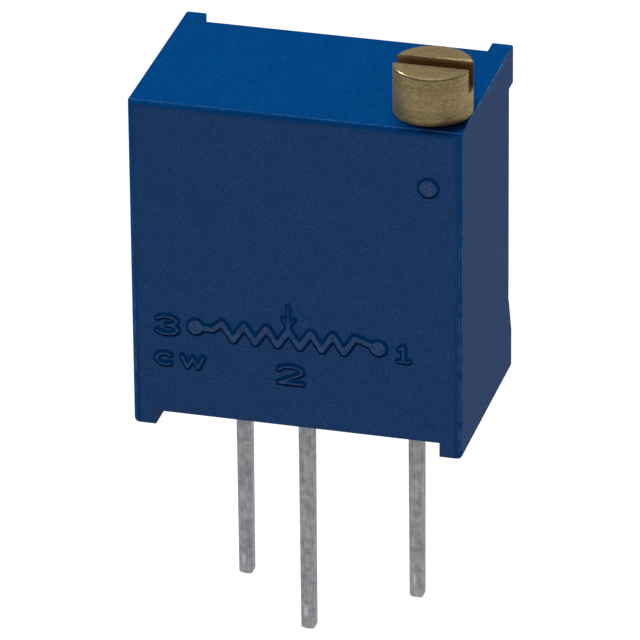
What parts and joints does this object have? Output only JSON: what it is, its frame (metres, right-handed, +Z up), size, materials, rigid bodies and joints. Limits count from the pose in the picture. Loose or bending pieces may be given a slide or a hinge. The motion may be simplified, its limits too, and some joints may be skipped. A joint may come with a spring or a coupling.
{
  "type": "trimmer potentiometer",
  "caption": "Square multi-turn trimmer potentiometer with a slotted top screw, a worm drive inside and staggered terminal pins.",
  "frame": {"origin": "the seating plane under the feet, at the centre of the terminal pin pattern", "axes": "+X to the right across the marked front, -Y out of the marked front, +Z up to the adjustment screw"},
  "size_m": [0.0096, 0.0061, 0.0181],
  "materials": {
    "blue_moulding": "fine satin moulding",
    "screw_brass": "turned and slightly dull",
    "seal_rubber": "matte",
    "spring_steel": "rolled",
    "gear_plastic": "natural moulding",
    "spring_bronze": "rolled strip",
    "ceramic_plate": "fired alumina",
    "track_ink": "fired film",
    "conductor_ink": "fired silver film",
    "tinned_pin": "dull tin plating",
    "solder": "smooth solder",
    "epoxy": "poured and levelled"
  },
  "bodies": {
    "case": {"housing": "blue_moulding", "element_plate": "ceramic_plate", "resistive_track": "track_ink", "end_conductor_1": "conductor_ink", "end_conductor_3": "conductor_ink", "collector_conductor": "conductor_ink", "terminal_pin_1": "tinned_pin", "terminal_pin_2": "tinned_pin", "terminal_pin_3": "tinned_pin", "solder_joint_1": "solder", "solder_joint_2": "solder", "solder_joint_3": "solder", "epoxy_seal": "epoxy"},
    "screw": {"adjustment_screw": "screw_brass", "screw_seal": "seal_rubber", "retaining_clip": "spring_steel"},
    "rotor": {"worm_gear": "gear_plastic", "wiper": "spring_bronze"}
  },
  "joints": [
    {"name": "screw_turn", "type": "hinge", "parent": "case", "child": "screw", "pos_m": [0.00364, -0.0011, 0.01003], "axis": [0, 0, 1], "range_deg": [-4500, 4500]},
    {"name": "gear_turn", "type": "hinge", "parent": "case", "child": "rotor", "pos_m": [-0.00033, -0.0011, 0.00534], "axis": [0, 1, 0], "range_deg": [-150, 150]}
  ],
  "couplings": [
    {"joint": "gear_turn", "follows": "screw_turn", "ratio": 0.033333}
  ]
}
